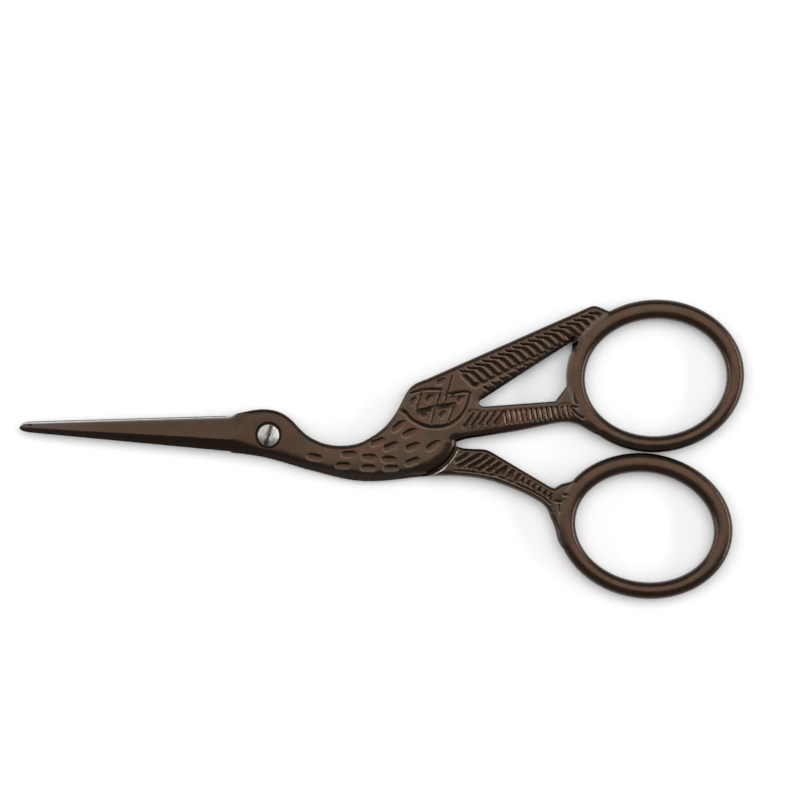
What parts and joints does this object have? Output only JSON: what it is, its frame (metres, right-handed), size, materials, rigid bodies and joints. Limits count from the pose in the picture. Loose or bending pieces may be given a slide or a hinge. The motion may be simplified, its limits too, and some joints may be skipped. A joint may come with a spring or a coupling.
{
  "type": "embroidery scissors",
  "caption": "Small embroidery scissors shaped like a stork, with the beak as blades, a slotted pivot screw, a carved wing and oval finger loops.",
  "frame": {"origin": "bottom centre of the box of the closed scissors, in the plane of the back half's outer face, on which they lie", "axes": "+X along the scissors from the beak's tip to the finger loops, +Y towards the wing, +Z out of the front face"},
  "size_m": [0.1155, 0.048, 0.0029],
  "materials": {
    "bronze_coat": "satin brown coat on forged steel",
    "bright_steel": "turned bright steel"
  },
  "bodies": {
    "back": {"back_half": "bronze_coat", "pivot_screw": "bright_steel"},
    "front": {"front_half": "bronze_coat"}
  },
  "joints": [
    {"name": "pivot", "type": "hinge", "parent": "back", "child": "front", "pos_m": [-0.0179, -0.00024, 0.00145], "axis": [0, 0, 1], "range_deg": [0, 150]}
  ]
}
